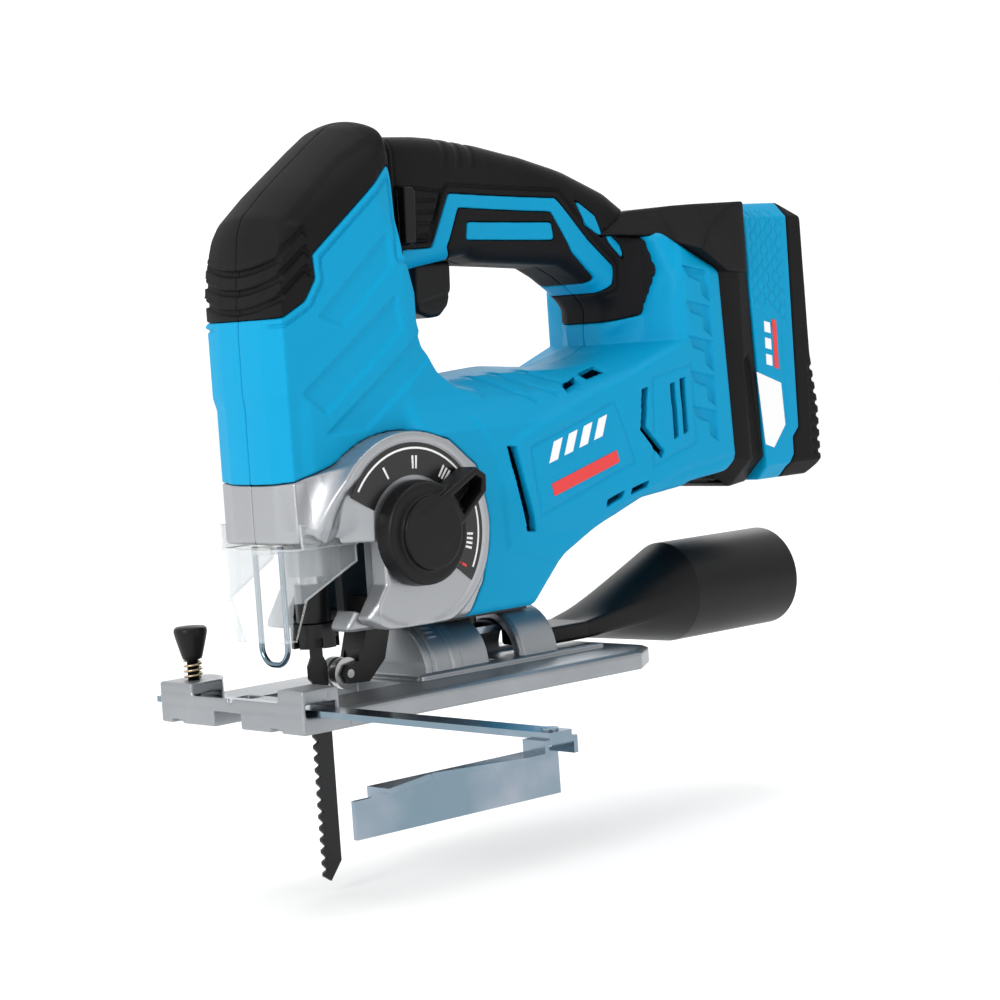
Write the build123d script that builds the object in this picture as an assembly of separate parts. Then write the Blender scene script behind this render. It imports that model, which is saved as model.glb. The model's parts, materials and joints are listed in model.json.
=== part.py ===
"""Cordless jigsaw: millimetres, +Z up, front towards -X, operator's left is -Y.

The origin is where the blade's centre line crosses the sole of the shoe.
"""
import os
from math import cos, pi, sin

from build123d import *

# --- driving dimensions -------------------------------------------------------
STROKE = 20.0            # plunger travel, top to bottom
REST_DROP = 5.5          # how far the plunger rests below the middle of its stroke
SHOE_X = (-38.0, 132.0)  # front and rear ends of the shoe
SHOE_HALF = 39.0         # half the shoe's width
PLATE_T = 7.0            # shoe plate thickness
BEVEL_Z = 8.5            # height of the bevel axis above the sole
QUADRANT_R = 17.5        # outside radius of the bevel quadrant
QUADRANT_X = (34.0, 97.0)
CLAMP_X = 71.0           # bevel clamping screw
KEY_R = 2.3              # corner radius of the screw's hexagon socket
CLAMP_GAP = (64.0, 79.0)  # gap between the quadrant's two humps
BODY_FLOOR = 28.3        # underside of the housing
NOSE_FRONT = -24.0
MOTOR_Z = 81.0           # motor axis height
MODULE = 0.9             # gear tooth module
PINION_TEETH = 10
GEAR_TEETH = 40
GEAR_Z = MOTOR_Z + MODULE * (PINION_TEETH + GEAR_TEETH) / 2
GEAR_X = (13.5, 21.5)
YOKE_Z = GEAR_Z - REST_DROP
DIAL_X = 19.5
DIAL_Z = 59.7
DIAL_FACE = -33.5        # plane of the dial's silver ring
RING_R = 34.3
WALL = 3.2               # plastic wall with its rubber skin
SKIN = 1.7               # rubber skin over the plastic
GAP = 0.3                # clearance between bodies that move apart
SHAFT_R = 2.5
ROD_R = 4.5
BLADE_TIP = -58.3
BLADE_T = 1.2
TOOTH_PITCH = 4.0
BAR_X = (-34.5, -25.5)   # fence bar
BAR_Z = (5.9, 7.9)
BAR_Y = (-149.0, 46.0)
KNOB_AT = (-30.0, 30.0)  # fence clamping knob
TUBE_Z = 20.5            # dust tube axis height
TUBE_R = 19.0
TUBE_END = 228.0
PACK_X = (190.0, 222.5)  # battery pack, front and rear faces
PACK_Z = (61.0, 166.5)
PACK_HALF = 37.0
CELL_R = 9.2
CELL_LENGTH = 65.0
RUNNING = 0.04           # radial clearance of a running fit

os.makedirs("parts", exist_ok=True)


# --- helpers ------------------------------------------------------------------
def block(x, y, z):
    """A box given by its ranges along X, Y and Z."""
    size = [high - low for low, high in (x, y, z)]
    centre = [(high + low) / 2 for low, high in (x, y, z)]
    return Pos(*centre) * Box(*size)


def outline(points, inset=0.0):
    """A flat face from a list of corners, shrunk by inset."""
    face = make_face(Polyline(*points, close=True))
    return offset(face, amount=-inset, kind=Kind.INTERSECTION) if inset else face


def side_prism(points, half, inset=0.0):
    """An XZ outline, extruded to half on both sides of the mid-plane."""
    return Rot(90, 0, 0) * extrude(outline(points, inset), half - inset, both=True)


def side_slab(points, y_low, y_high):
    """An XZ outline, extruded from y_low to y_high."""
    return Pos(0, y_high, 0) * Rot(90, 0, 0) * extrude(outline(points), y_high - y_low)


def plan_prism(points, z_low, z_high, inset=0.0):
    """An XY outline, extruded from z_low to z_high."""
    return Pos(0, 0, z_low) * extrude(outline(points, inset), z_high - z_low)


def front_prism(points, x_low, x_high, inset=0.0):
    """A YZ outline, extruded from x_low to x_high."""
    return Pos(x_low, 0, 0) * Plane.YZ.location * extrude(outline(points, inset), x_high - x_low)


def rod_x(radius, x_low, x_high, y=0.0, z=0.0):
    return Pos((x_low + x_high) / 2, y, z) * Rot(0, 90, 0) * Cylinder(radius, x_high - x_low)


def rod_y(radius, y_low, y_high, x=0.0, z=0.0):
    return Pos(x, (y_low + y_high) / 2, z) * Rot(90, 0, 0) * Cylinder(radius, y_high - y_low)


def rod_z(radius, z_low, z_high, x=0.0, y=0.0):
    return Pos(x, y, (z_low + z_high) / 2) * Cylinder(radius, z_high - z_low)


def mirrored(points):
    """A list of (y, z) or (x, y) corners completed by its mirror image across the mid-plane."""
    return points + [(-y, z) for y, z in reversed(points) if y]


def save(name, *solids):
    """Write one node; several loose solids become one group."""
    shape = solids[0] if len(solids) == 1 else Compound(list(solids))
    export_step(shape, f"parts/{name}.step")


LEFT = block((-60, 260), (-80, 0), (-80, 230))
RIGHT = block((-60, 260), (0, 80), (-80, 230))

# --- the outer body -----------------------------------------------------------
HEAD_SIDE = [(-24, 58.4), (-24, 80), (-23, 132), (-22.5, 160), (-19, 167), (-11.5, 175.5),
             (7.7, 192), (20, 198.6), (28, 200.6), (31, 199.5), (34, 195), (36, 170), (38, 152),
             (37, 130), (44, 117), (60, 106), (60, 28.3), (-4, 28.3), (-4, 29.6), (6, 43.7), (6, 58.4)]
HEAD_PLAN = [(-24, 9), (-20.3, 20.5), (14, 25.4), (28, 27), (40, 26), (60, 26)]
MAIN_SIDE = [(26, 28.3), (75, 28.3), (90, 44.6), (104, 51.3), (130, 62), (174, 66.7), (179.5, 70.6),
             (176.5, 142.7), (154, 157), (138, 157), (136, 120), (26, 112)]
TUBE_FRONT = mirrored([(31, 20), (33, 48), (33, 92), (27, 102), (17, 110), (0, 113.5)])
REAR_FRONT = mirrored([(33, 55), (36, 66), (36, 140), (28, 160)])
HANDLE_SIDE = [(30, 194), (50, 194), (60, 193.3), (80, 190.8), (100, 186.7), (120, 181), (140, 173),
               (150, 166.5), (158, 159.5), (164, 148), (167, 136), (167, 122), (139, 122),
               (140, 130), (131.7, 137), (123, 143.6), (117, 147), (78, 149.4), (70, 152),
               (48, 149), (38, 147), (30, 160)]
HANDLE_FRONT = mirrored([(13, 118), (17, 124), (17, 190), (8, 200)])
CAP_REGION = [(-30, 134.4), (-19.9, 134.4), (-11, 139.4), (-6.5, 146.5), (-7, 154.5), (27, 184),
              (27, 177), (33, 177), (40, 184), (60, 184), (60, 210), (-30, 210)]
GRIP_REGION = [(60, 210), (60, 176), (78, 172), (84, 162), (78, 155), (60, 155), (60, 140),
               (150, 118), (180, 118), (180, 210)]


def head(inset=0.0):
    plan = mirrored([(y, x) for x, y in HEAD_PLAN])
    wedge = plan_prism([(x, y) for y, x in plan], 20, 210, inset)
    return side_prism(HEAD_SIDE, 40, inset) & wedge


def main_body(inset=0.0):
    side = side_prism(MAIN_SIDE, 40, inset)
    tube = front_prism(TUBE_FRONT, 24, 150, inset)
    rear = front_prism(REAR_FRONT, 146, 185, inset)
    return side & (tube + rear)


def handle(inset=0.0):
    return side_prism(HANDLE_SIDE, 40, inset) & front_prism(HANDLE_FRONT, 30, 170, inset)


def body(inset=0.0):
    return head(inset) + main_body(inset) + handle(inset)


FOOT_FRONT = mirrored([(26, 60), (37, 70), (37, 148), (26, 166.5)])
TONGUE_HALF = 25.0


def battery_foot():
    """Black seat behind the motor: a rim round the pack's tongue, with two T-rails."""
    foot = front_prism(FOOT_FRONT, 184.3, 189.7) + front_prism(FOOT_FRONT, 176, 185, 2.5)
    cover = [(124, 157.6), (133, 163), (164, 166.5), (186, 166.5), (186, 156), (154, 157.3)]
    foot += side_prism(cover, 27)
    foot -= block((179, 195), (-TONGUE_HALF - GAP, TONGUE_HALF + GAP), (62, 170))
    for side in (-1, 1):
        foot += block((183.8, 186.2), sorted((side * 22.5, side * 26)), (70, 156))
    return foot


NOSE_SIDE = [(-26, 50), (-26, 77.8), (-20, 80), (-6.6, 84), (6.6, 89.8), (12.8, 93), (22, 94),
             (38, 90), (50, 80), (56.3, 60), (50, 40), (38, 26), (-10, 26), (-10, 50)]


def nose_region():
    return side_prism(NOSE_SIDE, 45)


def ring_disc(extra=0.0):
    """The dial's round silver plate, cut off level with the underside."""
    disc = rod_y(RING_R + extra, DIAL_FACE, -24.2, DIAL_X, DIAL_Z)
    return disc & block((-20, 70), (-40, 0), (BODY_FLOOR, 120))


def shells():
    """Both housing halves with their rubber skins and the silver nose covers."""
    outer = body()
    cavity = body(WALL)
    hollow = outer - cavity
    for x in (50, 98):
        rib = rod_x(31, x, x + 2.5, z=MOTOR_Z) - rod_x(22, x - 1, x + 4, z=MOTOR_Z)
        hollow += rib & body(WALL / 2) & front_prism(TUBE_FRONT, 40, 110, WALL / 2)
    region = side_prism(CAP_REGION, 45) + (side_prism(GRIP_REGION, 45) & handle())
    skin = (outer - body(SKIN)) & region
    shell = hollow - skin - nose_region() - ring_disc(GAP)
    vents = [block((73, 77), (-40, 40), (56, 84))]
    vents += [block((x, x + 6), (-40, 40), (101, 103.6)) for x in (105, 117)]
    vents += [block((x, x + 7), (-40, 40), (60, 62.6)) for x in (113, 125)]
    vents += [block((x, x + 2.2), (-40, 40), (81, 102)) for x in (147, 152)]
    cuts = [block((49, 69), (-8.6, 8.6), (138, 160)),           # trigger
            block((34, 41), (-30, 30), (156.4, 176.6)),         # lock-off button
            block((60, 82), (-9, 9), (26, 39)),                 # bevel clamp
            battery_foot()]
    for cut in cuts + vents:
        shell -= cut
        skin -= cut
    nose = (hollow & nose_region()) - block((-10, 33), (-13, 13), (20, 63))
    nose -= block((-18, -13), (-2.5, 2.5), (50, 70))
    nose_left = (nose & LEFT) + (ring_disc() - body(WALL)) - rod_y(5 + GAP, -60, 0, DIAL_X, DIAL_Z)
    return shell, skin, nose_left, nose & RIGHT


def largest(shape, least=40.0):
    """The solids of a shape that are big enough to be real pieces."""
    return [solid for solid in shape.solids() if solid.volume > least]


shell, skin, nose_left, nose_right = shells()
save("housing_left", *largest(shell & LEFT, 300))
save("housing_right", *largest(shell & RIGHT, 300))
save("overmould_left", *largest(skin & LEFT))
save("overmould_right", *largest(skin & RIGHT))
save("nose_cover_left", *largest(nose_left, 300))
save("nose_cover_right", *largest(nose_right, 300))


# --- mechanism ----------------------------------------------------------------
def gear_case():
    """C-shaped casting: bulkhead for the motor, two blocks for the plunger's bushes, two lugs."""
    case = block((31, 35), (-20, 20), (60, 114)) + block((31, 33.5), (-20, 20), (114, 138))
    case += block((-9, 31.5), (-12, 12), (60, 72)) + block((-9, 31.5), (-12, 12), (126, 138))
    case += rod_z(8.4, 47, 60.5)
    case += block((19, 31), (-10.5, -6.6), (29, 61)) + block((19, 31), (6.6, 10.5), (29, 61))
    case -= rod_z(6, 59, 140)
    case -= rod_z(6.6, 46, 60)
    case -= rod_x(8, 30, 36, z=MOTOR_Z)
    case -= rod_x(3, 30, 36, z=GEAR_Z)
    return case - rod_y(1.5, -12, 12, *YOKE_PIVOT)


def toothed(teeth, half_tooth, x_low, x_high, phase):
    """A spur gear about the X axis with straight-sided teeth."""
    pitch_r = MODULE * teeth / 2
    root = pitch_r - 1.2 * MODULE
    tip = pitch_r + 0.75 * MODULE
    tooth = front_prism([(root - 0.5, -1.25 * half_tooth), (tip, -0.55 * half_tooth),
                         (tip, 0.55 * half_tooth), (root - 0.5, 1.25 * half_tooth)], x_low, x_high)
    wheel = rod_x(root, x_low, x_high)
    for i in range(teeth):
        wheel += Rot(phase + 360 * i / teeth, 0, 0) * tooth
    return wheel


def drive_gear():
    """The big gear with its eccentric drive pin in front and counterweight cam behind."""
    low, high = GEAR_X
    gear = Pos(0, 0, GEAR_Z) * toothed(GEAR_TEETH, 0.62, low, high, 90)
    pin_y = (STROKE ** 2 / 4 - REST_DROP ** 2) ** 0.5
    gear += rod_x(4.0, 9.4, low + 1, y=pin_y, z=YOKE_Z)
    gear += rod_x(7, high - 0.5, 29.5, y=-3, z=GEAR_Z)
    return gear - rod_x(3 + RUNNING, low - 5, 30, z=GEAR_Z)


def scotch_yoke():
    plate = block((4, 9), (-17.2, 17.2), (YOKE_Z - 8, YOKE_Z + 8))
    plate += rod_z(7, YOKE_Z - 8, YOKE_Z + 8) & block((-7, 4.5), (-7, 7), (0, 200))
    slot = block((6, 12), (-10, 10), (YOKE_Z - 4.3, YOKE_Z + 4.3))
    slot += rod_x(4.3, 6, 12, 10, YOKE_Z) + rod_x(4.3, 6, 12, -10, YOKE_Z)
    return plate - slot - rod_z(ROD_R, 0, 200)


def counterweight():
    weight = block((23.5, 29), (-17, 17), (77.2, 122.4))
    return weight - block((20, 30), (-10.6, 10.6), (70, GEAR_Z + 13.4))


YOKE_PIVOT = (25.0, 34.0)
ROLLER_AT = (9.9, 12.0)
ROLLER_R = 5.5


def roller_yoke():
    """The forked arm that pushes the blade forward on its roller."""
    arm = side_slab([(21, 37), (29, 37), (30, 30), (25.5, 15), (18, 8.2), (9, 8.6), (7, 12), (9, 15),
                     (15, 16), (18, 26)], -5.8, 5.8)
    arm -= rod_y(7.0, -4.2, 4.2, *ROLLER_AT)
    arm -= block((0, 16), (-4.2, 4.2), (0, 20))
    return arm - rod_y(1.5 + RUNNING, -12, 12, *YOKE_PIVOT) - rod_y(1.5, -8, 8, *ROLLER_AT)


def roller():
    wheel = rod_y(ROLLER_R, -3.9, 3.9, *ROLLER_AT)
    groove = rod_y(ROLLER_R + 1, -0.9, 0.9, *ROLLER_AT) - rod_y(ROLLER_R - 1, -0.9, 0.9, *ROLLER_AT)
    return wheel - groove - rod_y(1.5 + RUNNING, -5, 5, *ROLLER_AT)


def blade():
    """T-shank wood blade: teeth on the front edge, sloping tip."""
    teeth = []
    z = 12.0
    while z > BLADE_TIP + TOOTH_PITCH + 2:
        teeth += [(-4.0, z - 0.3), (-2.2, z - 2.2), (-4.0, z - TOOTH_PITCH + 0.9)]
        z -= TOOTH_PITCH
    points = [(-2.4, 36), (2.4, 36), (2.4, 19), (4, 16), (4, -52), (-1, BLADE_TIP), (-4, z - 0.3)]
    points += [(x, z) for x, z in reversed(teeth)] + [(-4, 16), (-2.4, 19)]
    strip = side_slab(points, -BLADE_T / 2, BLADE_T / 2)
    return strip + side_slab([(-5, 33), (5, 33), (5, 30), (-5, 30)], -BLADE_T / 2, BLADE_T / 2)


def clamp_body():
    """The blade holder on the plunger's lower end."""
    holder = rod_z(5.9, 31, 44)
    holder -= block((-2.6, 2.6), (-0.7, 0.7), (30, 37)) + block((-5.2, 5.2), (-0.7, 0.7), (29, 33.2))
    return holder


def clamp_collar():
    """The castellated collar that is twisted to free the blade."""
    collar = rod_z(8.2, 22.4, 30.6) - rod_z(5.4, 20, 32)
    for i in range(6):
        collar -= Rot(0, 0, 60 * i) * block((5.6, 10), (-1.4, 1.4), (20, 26))
    return collar


save("gear_case", gear_case())
save("plunger_bushes", *[rod_z(6, low, low + 12) - rod_z(ROD_R + RUNNING, low - 1, low + 13)
                         for low in (60, 126)])
save("gear_axle", rod_x(3, 14, 35, z=GEAR_Z))
save("drive_gear", drive_gear())
save("counterweight", counterweight())
save("plunger", rod_z(ROD_R, 44, 152))
save("scotch_yoke", scotch_yoke())
save("clamp_body", clamp_body())
save("clamp_collar", clamp_collar())
save("blade", blade())
save("roller_yoke", roller_yoke())
save("roller_pin", rod_y(1.5, -5.8, 5.8, *ROLLER_AT))
save("yoke_pin", rod_y(1.5, -10.5, 10.5, *YOKE_PIVOT))
save("roller", roller())


# --- motor --------------------------------------------------------------------
def cooling_fan():
    fan = rod_x(8, 36.5, 40.5, z=MOTOR_Z) + rod_x(19, 39.4, 40.5, z=MOTOR_Z)
    vane = block((36.5, 40.5), (-0.6, 0.6), (7, 19))
    for i in range(14):
        fan += Pos(0, 0, MOTOR_Z) * Rot(360 * i / 14, 0, 0) * vane
    return fan - rod_x(SHAFT_R, 30, 50, z=MOTOR_Z)


def armature_core():
    """Laminated core with ten winding slots."""
    core = rod_x(16.6, 54, 90, z=MOTOR_Z)
    for i in range(10):
        core -= Pos(0, 0, MOTOR_Z) * Rot(36 * i, 0, 0) * block((53, 91), (-1.6, 1.6), (10, 18))
    return core - rod_x(SHAFT_R, 50, 95, z=MOTOR_Z)


def brush_holder():
    holder = rod_x(21, 108, 116, z=MOTOR_Z) - rod_x(8, 110, 117, z=MOTOR_Z)
    holder -= rod_x(4, 107, 118, z=MOTOR_Z)
    for side in (-1, 1):
        low, high = sorted((side * 9, side * 18))
        holder += block((98, 108.5), (low, high), (MOTOR_Z - 5, MOTOR_Z + 5))
        holder -= block((100, 105), (low - 1, high + 1), (MOTOR_Z - 3, MOTOR_Z + 3))
    return holder


def bearing(x):
    """A sealed ball bearing, drawn as one ring."""
    return rod_x(8, x, x + 4, z=MOTOR_Z) - rod_x(SHAFT_R + RUNNING, x - 1, x + 5, z=MOTOR_Z)


ring = rod_x(20.2, 52, 94, z=MOTOR_Z) - rod_x(17.4, 51, 95, z=MOTOR_Z)
PINION_PHASE = 90 + 180 / PINION_TEETH
pinion = Pos(0, 0, MOTOR_Z) * toothed(PINION_TEETH, 0.62, GEAR_X[0], GEAR_X[1] + 1, PINION_PHASE)
save("armature_shaft", rod_x(SHAFT_R, 12, 115, z=MOTOR_Z))
save("pinion", pinion - rod_x(SHAFT_R, 0, 50, z=MOTOR_Z))
save("cooling_fan", cooling_fan())
save("armature_core", armature_core())
save("commutator", rod_x(7, 97, 107, z=MOTOR_Z) - rod_x(SHAFT_R, 90, 110, z=MOTOR_Z))
can = rod_x(22, 44, 108, z=MOTOR_Z) - rod_x(20.2, 46, 109, z=MOTOR_Z)
save("motor_can", can - rod_x(9, 40, 50, z=MOTOR_Z))
save("motor_magnets", *[ring & block((50, 96), (-16, 16), z) for z in ((82, 110), (50, 80))])
save("brush_holder", brush_holder())
save("carbon_brushes", *[block((100, 105), sorted((side * 7.1, side * 17)), (MOTOR_Z - 3, MOTOR_Z + 3))
                         for side in (-1, 1)])
save("motor_bearings", bearing(31), bearing(110))


# --- controls -----------------------------------------------------------------
def dial_knob():
    """Round pendulum-stroke knob with a finger tab."""
    back = DIAL_FACE - 0.6
    knob = rod_y(18, back - 7, back, DIAL_X, DIAL_Z) + rod_y(12.5, back - 11, back - 6, DIAL_X, DIAL_Z)
    tab = side_slab([(-2, -7), (28, -4), (31, 0), (28, 5), (-2, 9)], back - 10, back)
    knob += Pos(DIAL_X, 0, DIAL_Z) * Rot(0, -35, 0) * tab
    return knob + rod_y(5, back - 1, -22, DIAL_X, DIAL_Z)


def trigger():
    """Straight-pull trigger with a stem that reaches the switch."""
    pull = side_slab([(50, 150), (50, 138), (53, 132.5), (60, 131.5), (65, 136), (67, 150)], -8, 8)
    return pull + block((52, 65), (-6, 6), (149, 152.5))


def coil(radius, wire, z_low, z_high, turns, x, y):
    """A compression spring along Z: a round wire swept along a helix."""
    pitch = (z_high - z_low - 2 * wire) / turns
    path = Helix(pitch, z_high - z_low - 2 * wire, radius)
    start = Plane(origin=path @ 0, z_dir=path % 0)
    return Pos(x, y, z_low + wire) * sweep(start * Circle(wire), path)


save("dial_knob", dial_knob())
save("dial_label", (rod_y(31, DIAL_FACE - 0.25, DIAL_FACE, DIAL_X, DIAL_Z)
                    - rod_y(19, -40, -20, DIAL_X, DIAL_Z)) & block((-20, 60), (-50, 0), (58, 100)))
save("trigger", trigger())
save("trigger_spring", coil(3.2, 0.5, 152.6, 163.0, 4.5, 58.5, 0))
save("switch_module", block((52, 86), (-8, 8), (163, 182)))
save("lock_button", block((35, 40), (-28.2, -18), (157, 176))
     + block((36, 39), (-18.5, -12), (160, 173)))
save("led_board", block((-20, -11), (-8, 8), (61.7, 63.2))
     + block((-17, -14), (-2, 2), (58.8, 61.8)))
save("led_lens", block((-20.5, -10.7), (-5.4, 5.4), (56, 58.3))
     - block((-18.5, -12.5), (-3, 3), (57.4, 60)))


# --- nose guards --------------------------------------------------------------
def wire_guard():
    """Bent wire loop in front of the blade."""
    x, half, low = -17.5, 7.0, 18.5
    bend = 6.0
    top = 58.4
    path = FilletPolyline((x, -half, top), (x, -half, low), (x, half, low), (x, half, top), radius=bend)
    start = Plane(origin=path @ 0, z_dir=path % 0)
    return sweep(start * Circle(1.0), path)


def clear_guard():
    """Clear chip guard: bowed front with a wing along each side."""
    plan = mirrored([(9, -24.4), (20.8, -21.2), (23.3, 2)])
    outer_plan = [(x, y) for y, x in plan]
    skin_2mm = plan_prism(outer_plan, 26.8, 71)
    skin_2mm -= plan_prism([(-22.9, 8.6), (-19.9, 19.3), (4, 22), (4, -22), (-19.9, -19.3), (-22.9, -8.6)],
                           20, 80)
    side = side_prism([(-30, 26.8), (-19.6, 26.8), (-19, 41), (2, 52), (2, 58.1), (-30, 58.1)], 40)
    taper = front_prism(mirrored([(14.5, 26), (16.2, 40), (24, 40.5), (24, 80)]), -40, 10)
    return skin_2mm & side & taper


save("wire_guard", wire_guard())
save("clear_guard", clear_guard())


# --- shoe, fence and dust tube ------------------------------------------------
def shoe():
    front, rear = SHOE_X
    half = SHOE_HALF
    plate = plan_prism([(front, -half + 1), (front + 1, -half), (rear - 14, -half), (rear, -half + 10),
                        (rear, half - 10), (rear - 14, half), (front + 1, half), (front, half - 1)],
                       0, PLATE_T)
    plate += block((30, 118), (-20, 20), (5, 9))
    plate += block((front, front + 6), (-half + 1, half - 1), (0, 10))
    plate += plan_prism([(front, -39), (-23, -39), (-23, -25.5), (front, -25.5)], 0, 14.4)
    plate += plan_prism([(front, 39), (-20, 39), (-17.6, 36), (-17.6, 30), (-24, 22), (front, 21)], 0, 13.8)
    hump = rod_x(QUADRANT_R, *QUADRANT_X, z=BEVEL_Z) & block((0, 120), (-30, 30), (5, 40))
    hollow = rod_x(13.4, QUADRANT_X[0] + 3, 130, z=BEVEL_Z) & block((0, 130), (-30, 30), (7, 40))
    shape = plate + hump - hollow
    shape -= block(CLAMP_GAP, (-30, 30), (9, 40))
    shape -= block((60, 82), (-9, 9), (-1, 10))
    shape -= block((98, 119), (-13.2, 13.2), (7, 12))
    shape -= block((-14, 28), (-13, 13), (-1, 12))
    shape -= block((front - 1, -13), (-5.3, 9.5), (-1, 5.2))
    shape -= block((front - 1, front + 3), (-1, 1), (7.5, 12))
    shape -= block((BAR_X[0] - 2, BAR_X[1] + 1), (-50, 50), (BAR_Z[0] - 0.3, BAR_Z[1] + 1.9))
    for y in (-24, 30):
        shape -= block((front - 1, front + 3), (y - 3, y + 3), (-1, 1.2))
    shape -= rod_z(2.1, 8, 20, *KNOB_AT)
    return shape


def fence_plate():
    """Bent guide plate under the bar: upright face, top flange, step that hugs the bar."""
    y = -139.5
    low, high = BAR_X[0] - 2.2, BAR_X[1] + 2.2
    face = block((-103, -24), (y - 1.6, y), (-12, -1))
    face = face + block((-97, -24), (y - 1.6, y), (-12, 2.2))
    flange = plan_prism([(-97, y), (-24, y), (-24, y - 9.5), (-44, y - 9.5), (-74, y - 1.7), (-97, y - 9.5)],
                        0.6, 2.2)
    step = plan_prism([(low, y), (high, y), (high, y - 9.5), (low, y - 9.5)], 0.6, BAR_Z[0])
    step -= plan_prism([(low + 1.6, y + 9), (high - 1.6, y + 9), (high - 1.6, y - 20), (low + 1.6, y - 20)],
                       -1, BAR_Z[0] - 1.6)
    plate = face + flange + step
    tunnel = block((low + 1.6, high - 1.6), (y - 20, y - 1.65), (-1, BAR_Z[0] - 1.6))
    return plate - tunnel - rod_z(1.5, 0, 9, -30, y - 5)


def fence_knob():
    """Tapered plastic knob on a screw that presses on the bar."""
    grip = Pos(KNOB_AT[0], KNOB_AT[1], 26.5) * Cone(3.4, 5.4, 11)
    return grip + rod_z(2.0, BAR_Z[1] + 0.3, 22, *KNOB_AT)


def saddle_plate():
    saddle = block((50, 92), (-8, 8), (22, BODY_FLOOR - 0.1)) - rod_x(QUADRANT_R + GAP, 40, 100, z=BEVEL_Z)
    saddle += rod_z(5.6, 27, 38, CLAMP_X)
    return saddle - rod_z(SHAFT_R + RUNNING, 10, 36, CLAMP_X)


def clamp_plate():
    plate = rod_x(13.1, 60, 82, z=BEVEL_Z) - rod_x(11, 50, 90, z=BEVEL_Z)
    return (plate & block((50, 90), (-6, 6), (15, 30))) - rod_z(SHAFT_R + RUNNING, 0, 40, CLAMP_X)


def bevel_screw():
    screw = rod_z(SHAFT_R, 14, 35, CLAMP_X) + rod_z(4.5, BEVEL_Z, 15, CLAMP_X)
    key = [(CLAMP_X + KEY_R * cos(k * pi / 3), KEY_R * sin(k * pi / 3)) for k in range(6)]
    return screw - plan_prism(key, 8, 12)


def dust_tube():
    """Flat mouth under the motor, swelling to a round hose end behind."""
    def skin(radius, half_y, z_low, z_high, x_start):
        mouth = Plane(origin=(x_start, 0, (z_low + z_high) / 2), x_dir=(0, 1, 0), z_dir=(1, 0, 0))
        throat = Plane(origin=(120, 0, (z_low + z_high) / 2), x_dir=(0, 1, 0), z_dir=(1, 0, 0))
        end = Plane(origin=(172, 0, TUBE_Z), x_dir=(0, 1, 0), z_dir=(1, 0, 0))
        duct = extrude(mouth * RectangleRounded(2 * half_y, z_high - z_low, 1.5), 120 - x_start)
        duct += loft([throat * RectangleRounded(2 * half_y, z_high - z_low, 1.5), end * Circle(radius)])
        return duct + rod_x(radius, 172, TUBE_END + (2 if x_start < 96 else 0), z=TUBE_Z)
    return skin(TUBE_R, 10.6, 9.8, 16.2, 96) - skin(TUBE_R - 2.2, 9, 11.2, 14.8, 94)


save("shoe", shoe())
save("saddle_plate", saddle_plate())
save("clamp_plate", clamp_plate())
save("bevel_screw", bevel_screw())
save("fence_bar", block(BAR_X, BAR_Y, BAR_Z) - rod_z(1.5, 0, 9, -30, -144.5))
save("fence_plate", fence_plate())
save("fence_rivets", rod_z(1.5, 4.3, 7.9, -30, -144.5) + rod_z(2.6, 7.9, 8.7, -30, -144.5))
save("fence_knob", fence_knob())
save("knob_spring", coil(2.9, 0.4, 13.9, 20.9, 3.5, *KNOB_AT))
save("dust_tube", dust_tube())


# --- battery and its seat -----------------------------------------------------
def tongue():
    """Rail block on the pack's front, grooved for the T-rails and slotted for the blades."""
    block_in = block((179.5, 190.5), (-TONGUE_HALF, TONGUE_HALF), (69, 160))
    for side in (-1, 1):
        block_in -= block((183.5, 186.5), sorted((side * 22.2, side * 27)), (60, 158))
    for y in (-14, 0, 14):
        block_in -= block((181, 189), (y - 2.2, y + 2.2), (60, 86))
    return block_in


PACK_FRONT = mirrored([(PACK_HALF - 6, PACK_Z[0]), (PACK_HALF, PACK_Z[0] + 6),
                       (PACK_HALF, PACK_Z[1] - 6), (PACK_HALF - 6, PACK_Z[1])])


def pack_cavity():
    return front_prism(PACK_FRONT, PACK_X[0] + 2.4, PACK_X[1] - 2.8, 2.5)


cells_z = [PACK_Z[0] + 14 + 19 * i for i in range(5)]
cells = [rod_y(CELL_R, -CELL_LENGTH / 2, CELL_LENGTH / 2, 203.6, z) for z in cells_z]


def cell_holder(side):
    plate = block((194.1, 213.6), sorted((side * 20, side * 23)), (64.5, 161.5))
    for z in cells_z:
        plate -= rod_y(CELL_R, -40, 40, 203.6, z)
    return plate


def battery_outer():
    cover = front_prism(PACK_FRONT, 214, PACK_X[1]) + side_prism(
        [(220, 61), (226.5, 66), (226.5, 88), (222.5, 108), (220, 108)], 30)
    return cover - pack_cavity() - block((210, 230), (-14, 14), (140, 156))


save("battery_foot", battery_foot())
save("contact_block", block((179, 189), (-20, 20), (62, 68.3)))
save("contact_blades", *[block((182, 188), (y - 0.4, y + 0.4), (68.3, 84)) for y in (-14, 0, 14)])
save("battery_inner_shell", front_prism(PACK_FRONT, PACK_X[0], 214) - pack_cavity() + tongue())
save("battery_outer_shell", battery_outer())
save("battery_cells", *cells)
save("cell_holder", cell_holder(-1), cell_holder(1))
save("battery_board", block((192.4, 194.0), (-18, 18), (70, 150)))
save("battery_terminals", *[block((182.5, 188.5), sorted((y + s * 1.0, y + s * 1.6)), (72, 86))
                            for y in (-14, 0, 14) for s in (-1, 1)])
save("battery_button", block((216.5, 223.4), (-13.6, 13.6), (140.4, 155.6))
     + block((216.5, 219.3), (-15.5, 15.5), (139, 157)))
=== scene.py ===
# %% [markdown]
# # A cordless jigsaw
# The CAD model gives every part its place and its motion. This lesson gives the parts their looks.
# Moulded shells are grown as distance fields: a number at every point of a grid that says how far the
# surface is. Fields join, cut and round like clay, which is what moulded plastic and castings look like.

# %% Load the frame
import json

import bmesh
import bpy
import numpy as np
from mathutils import Matrix, Vector


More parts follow.
